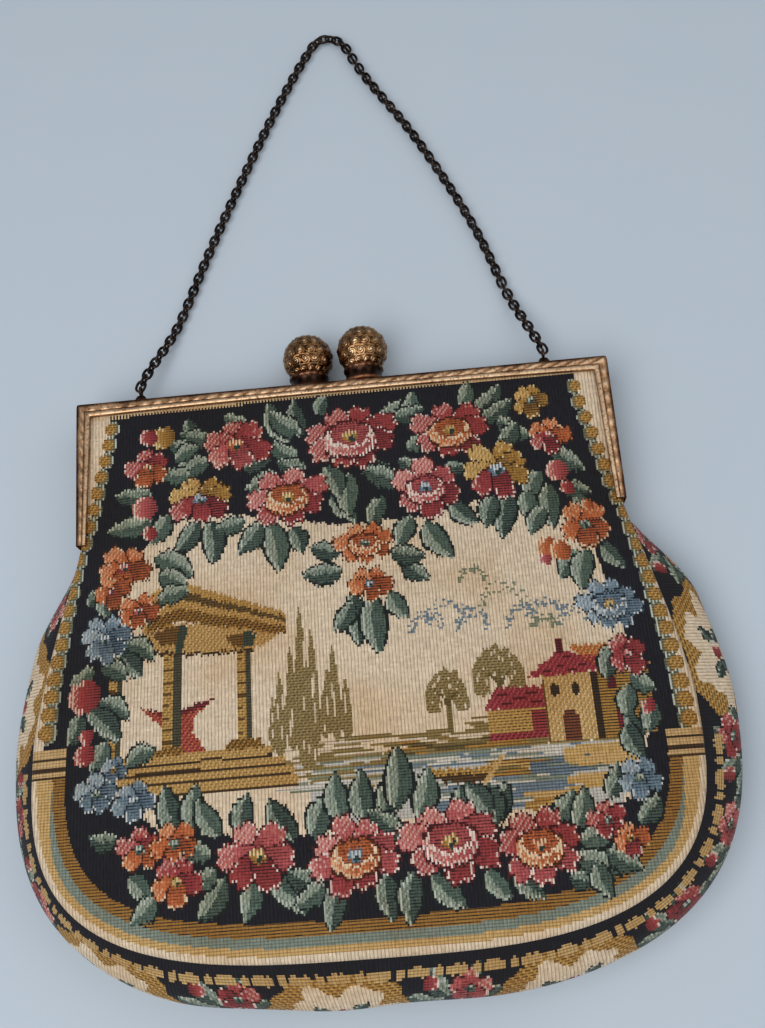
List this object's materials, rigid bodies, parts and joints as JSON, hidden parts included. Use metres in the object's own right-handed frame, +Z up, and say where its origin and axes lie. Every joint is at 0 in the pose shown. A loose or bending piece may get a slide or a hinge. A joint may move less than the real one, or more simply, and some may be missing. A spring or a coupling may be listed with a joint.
{
  "type": "tapestry purse",
  "caption": "Small tapestry handbag on a hinged folded-metal frame, with a ball clasp and a cable-chain handle, lying on its back.",
  "frame": {"origin": "on the flat of the back panel, on which the purse lies, midway between the hinges in X", "axes": "+X along the frame's bar to the right seen from the front, +Y from the bag's bottom to the bar and the chain, +Z up, the way the front panel faces"},
  "size_m": [0.1736, 0.2719, 0.0277],
  "materials": {
    "frame_metal": "worn copper-toned brass with darkened edges",
    "clasp_metal": "embossed, darkened in the hollows",
    "collar_metal": "dark brown patina",
    "chain_metal": "blackened bronze",
    "tapestry": "ribbed tapestry weave with a flower garland",
    "gusset_tapestry": "ribbed tapestry weave with cartouches",
    "lining_cloth": "ivory satin"
  },
  "bodies": {
    "bag": {"back_frame": "frame_metal", "hinge_rivets": "frame_metal", "back_clasp_ball": "clasp_metal", "back_clasp_collar": "collar_metal", "left_chain_lug": "collar_metal", "right_chain_lug": "collar_metal", "front_panel": "tapestry", "back_panel": "tapestry", "gusset": "gusset_tapestry", "lining": "lining_cloth"},
    "front_half": {"front_frame": "frame_metal", "front_clasp_ball": "clasp_metal", "front_clasp_collar": "collar_metal"},
    "chain": {"chain_links": "chain_metal"}
  },
  "joints": [
    {"name": "frame_open", "type": "hinge", "parent": "bag", "child": "front_half", "pos_m": [0, 0.0436, 0.0085], "axis": [1, 0, 0], "range_deg": [0, 70], "deforming": ["front_panel", "lining"]},
    {"name": "chain_swing", "type": "hinge", "parent": "bag", "child": "chain", "pos_m": [0, 0.0856, 0.0063], "axis": [1, 0, 0], "range_deg": [0, 95]}
  ]
}
